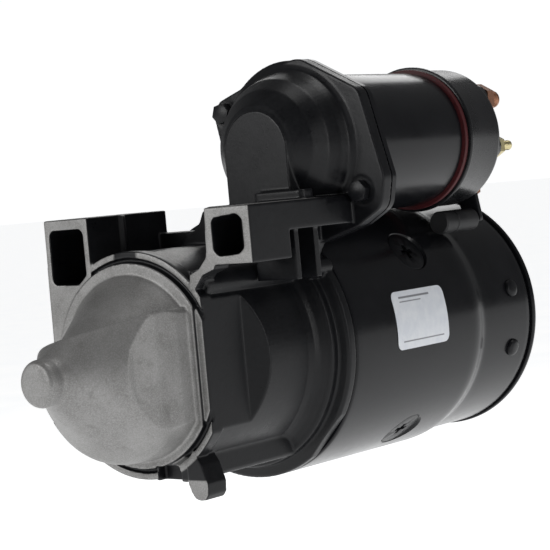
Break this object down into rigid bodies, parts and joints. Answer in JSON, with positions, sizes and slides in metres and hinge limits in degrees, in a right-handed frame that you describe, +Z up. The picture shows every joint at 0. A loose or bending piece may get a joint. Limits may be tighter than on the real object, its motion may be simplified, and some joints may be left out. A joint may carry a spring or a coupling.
{
  "type": "starter motor",
  "caption": "Engine starter motor: a solenoid on top slides the pinion forward through a shift lever and closes the contacts that spin the armature.",
  "frame": {"origin": "centre of the flat top face of the right mounting pad, where the starter bolts up under the engine block", "axes": "+Z up out of the mounting pads; +Y rearward along the armature shaft, from the pinion nose to the commutator end; +X to the right seen from the nose"},
  "size_m": [0.1424, 0.2858, 0.178],
  "materials": {
    "housing_paint": "semi-gloss black paint over cast aluminium; machined faces bare",
    "bronze": "sintered",
    "steel": "satin",
    "hard_steel": "ground",
    "iron": "rough",
    "copper_wire": "varnished copper",
    "copper": "bright copper",
    "frame_paint": "semi-gloss black paint over steel",
    "black_steel": "painted over with the frame",
    "white_label": "satin, blank",
    "zinc": "yellow zinc plate",
    "carbon": "pressed carbon",
    "red_fibre": "fibre",
    "black_plastic": "moulded, satin",
    "rubber": "soft"
  },
  "bodies": {
    "frame_and_housing": {"drive_housing": "housing_paint", "nose_bushing": "bronze", "end_bushing": "bronze", "lever_pivot_pin": "steel", "brush_pin_left": "steel", "brush_pin_right": "steel", "brush_spring_left": "steel", "brush_spring_right": "steel", "plunger_return_spring": "steel", "pole_shoe_a": "iron", "pole_shoe_b": "iron", "pole_shoe_c": "iron", "pole_shoe_d": "iron", "field_coils": "copper_wire", "solenoid_coil": "copper_wire", "battery_terminal": "copper", "motor_terminal": "copper", "field_frame": "frame_paint", "end_frame": "frame_paint", "solenoid_case": "frame_paint", "motor_strap": "black_steel", "pole_screw_a": "black_steel", "pole_screw_b": "black_steel", "pole_screw_c": "black_steel", "pole_screw_d": "black_steel", "rivet_upper_right": "black_steel", "rivet_lower_right": "black_steel", "rivet_lower_left": "black_steel", "rivet_upper_left": "black_steel", "solenoid_screw_upper": "black_steel", "solenoid_screw_lower": "black_steel", "data_label": "white_label", "brush_bracket_left": "zinc", "brush_bracket_right": "zinc", "through_bolt_upper": "zinc", "through_bolt_lower": "zinc", "start_terminal": "zinc", "cap_gasket": "red_fibre", "solenoid_cap": "black_plastic", "field_lead_boot": "rubber"},
    "armature": {"armature_shaft": "steel", "armature_core": "iron", "armature_windings": "copper_wire", "commutator": "copper", "pinion_stop_collar": "hard_steel"},
    "drive": {"clutch_shell": "steel", "shift_collar": "hard_steel", "drive_spring": "steel"},
    "pinion": {"pinion_gear": "hard_steel"},
    "lever": {"shift_lever": "steel"},
    "plunger": {"solenoid_plunger": "steel"},
    "contact": {"contact_plunger": "copper"},
    "arm_upper_right": {"brush_arm_upper_right": "zinc", "brush_upper_right": "carbon"},
    "arm_lower_right": {"brush_arm_lower_right": "zinc", "brush_lower_right": "carbon"},
    "arm_lower_left": {"brush_arm_lower_left": "zinc", "brush_lower_left": "carbon"},
    "arm_upper_left": {"brush_arm_upper_left": "zinc", "brush_upper_left": "carbon"}
  },
  "joints": [
    {"name": "armature_spin", "type": "hinge", "parent": "frame_and_housing", "child": "armature", "pos_m": [-0.056, 0.1, -0.0619], "axis": [0, 1, 0], "continuous": true},
    {"name": "plunger_slide", "type": "slide", "parent": "frame_and_housing", "child": "plunger", "axis": [0, 1, 0], "range_m": [0, 0.011], "stiffness_N_per_m": 900, "springref_m": -0.012, "deforming": ["plunger_return_spring"]},
    {"name": "lever_swing", "type": "hinge", "parent": "frame_and_housing", "child": "lever", "pos_m": [-0.03563, 0.047, -0.01624], "axis": [-0.9132, 0, 0.4075], "range_deg": [0, 15.3]},
    {"name": "drive_slide", "type": "slide", "parent": "armature", "child": "drive", "axis": [0, -1, 0], "range_m": [0, 0.01325]},
    {"name": "pinion_overrun", "type": "hinge", "parent": "drive", "child": "pinion", "pos_m": [-0.056, 0.1, -0.0619], "axis": [0, 1, 0], "continuous": true},
    {"name": "contact_slide", "type": "slide", "parent": "frame_and_housing", "child": "contact", "axis": [0, 1, 0], "range_m": [0, 0.0025]},
    {"name": "brush_arm_swing_upper_right", "type": "hinge", "parent": "frame_and_housing", "child": "arm_upper_right", "pos_m": [-0.01508, 0.185, -0.06447], "axis": [0, 1, 0], "range_deg": [0, 8], "stiffness_Nm_per_rad": 0.6, "springref_deg": -28.65},
    {"name": "brush_arm_swing_lower_right", "type": "hinge", "parent": "frame_and_housing", "child": "arm_lower_right", "pos_m": [-0.01508, 0.185, -0.06447], "axis": [0, -1, 0], "range_deg": [0, 8], "stiffness_Nm_per_rad": 0.6, "springref_deg": -28.65},
    {"name": "brush_arm_swing_lower_left", "type": "hinge", "parent": "frame_and_housing", "child": "arm_lower_left", "pos_m": [-0.09692, 0.185, -0.05933], "axis": [0, 1, 0], "range_deg": [0, 8], "stiffness_Nm_per_rad": 0.6, "springref_deg": -28.65},
    {"name": "brush_arm_swing_upper_left", "type": "hinge", "parent": "frame_and_housing", "child": "arm_upper_left", "pos_m": [-0.09692, 0.185, -0.05933], "axis": [0, -1, 0], "range_deg": [0, 8], "stiffness_Nm_per_rad": 0.6, "springref_deg": -28.65}
  ],
  "couplings": [
    {"joint": "lever_swing", "follows": "plunger_slide", "rad_per_m": 24.117},
    {"joint": "drive_slide", "follows": "plunger_slide", "ratio": 1.2027},
    {"joint": "contact_slide", "follows": "plunger_slide", "ratio": 0.22727}
  ]
}
